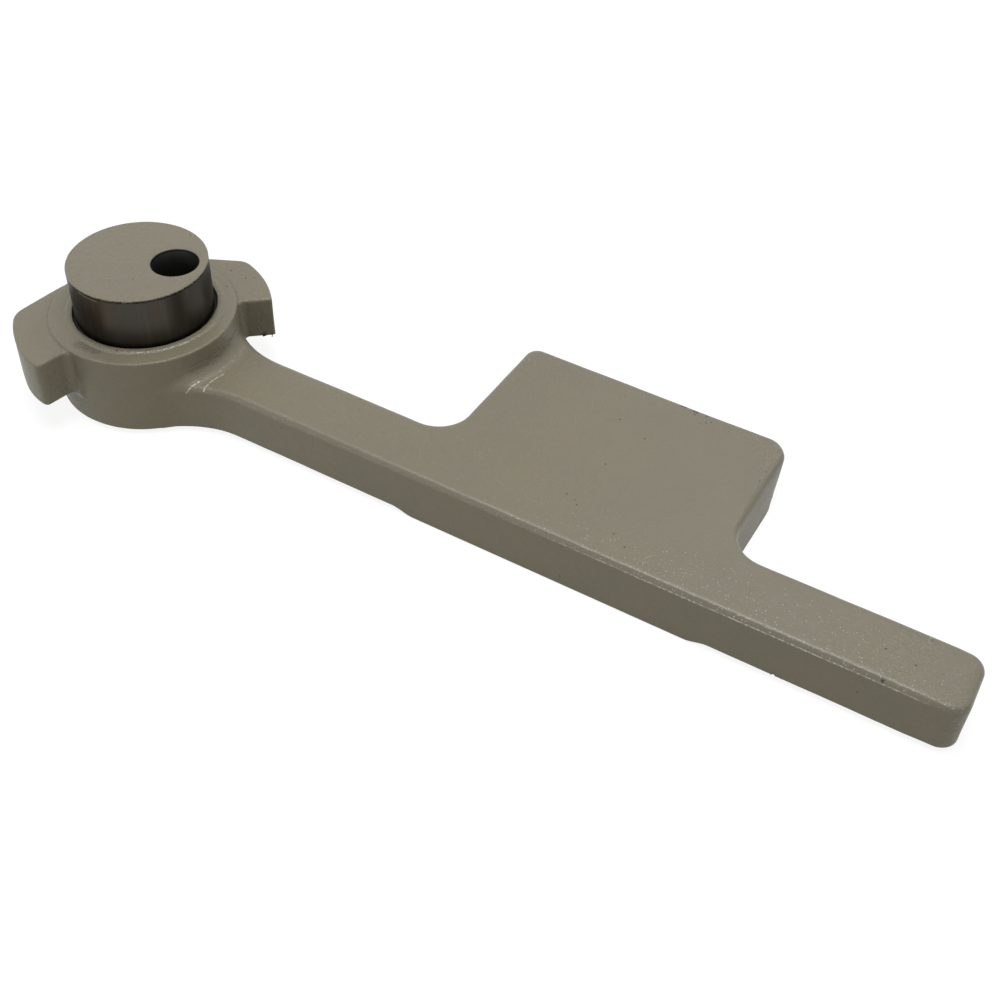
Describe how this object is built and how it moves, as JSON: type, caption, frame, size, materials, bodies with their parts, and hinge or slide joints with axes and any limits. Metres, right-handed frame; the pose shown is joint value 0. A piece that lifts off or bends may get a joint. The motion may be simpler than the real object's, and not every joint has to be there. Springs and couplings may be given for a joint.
{
  "type": "clamp handle",
  "caption": "Cast lever handle with a machined eccentric clamping cam, stop lugs round its hub, a flat counterweight block beside the arm and a plain grip end.",
  "frame": {"origin": "on the axis of the pivot bore, level with the underside of the hub", "axes": "+X along the arm from the hub to the grip, +Y towards the counterweight block, +Z along the pivot bore, up past the cam"},
  "size_m": [0.4153, 0.1383, 0.0609],
  "materials": {
    "painted_casting": "satin grey-beige paint over a grainy cast skin, bare machined steel on the cam's side, the groove and the bore"
  },
  "bodies": {
    "root": {"clamp_handle": "painted_casting"}
  },
  "joints": []
}
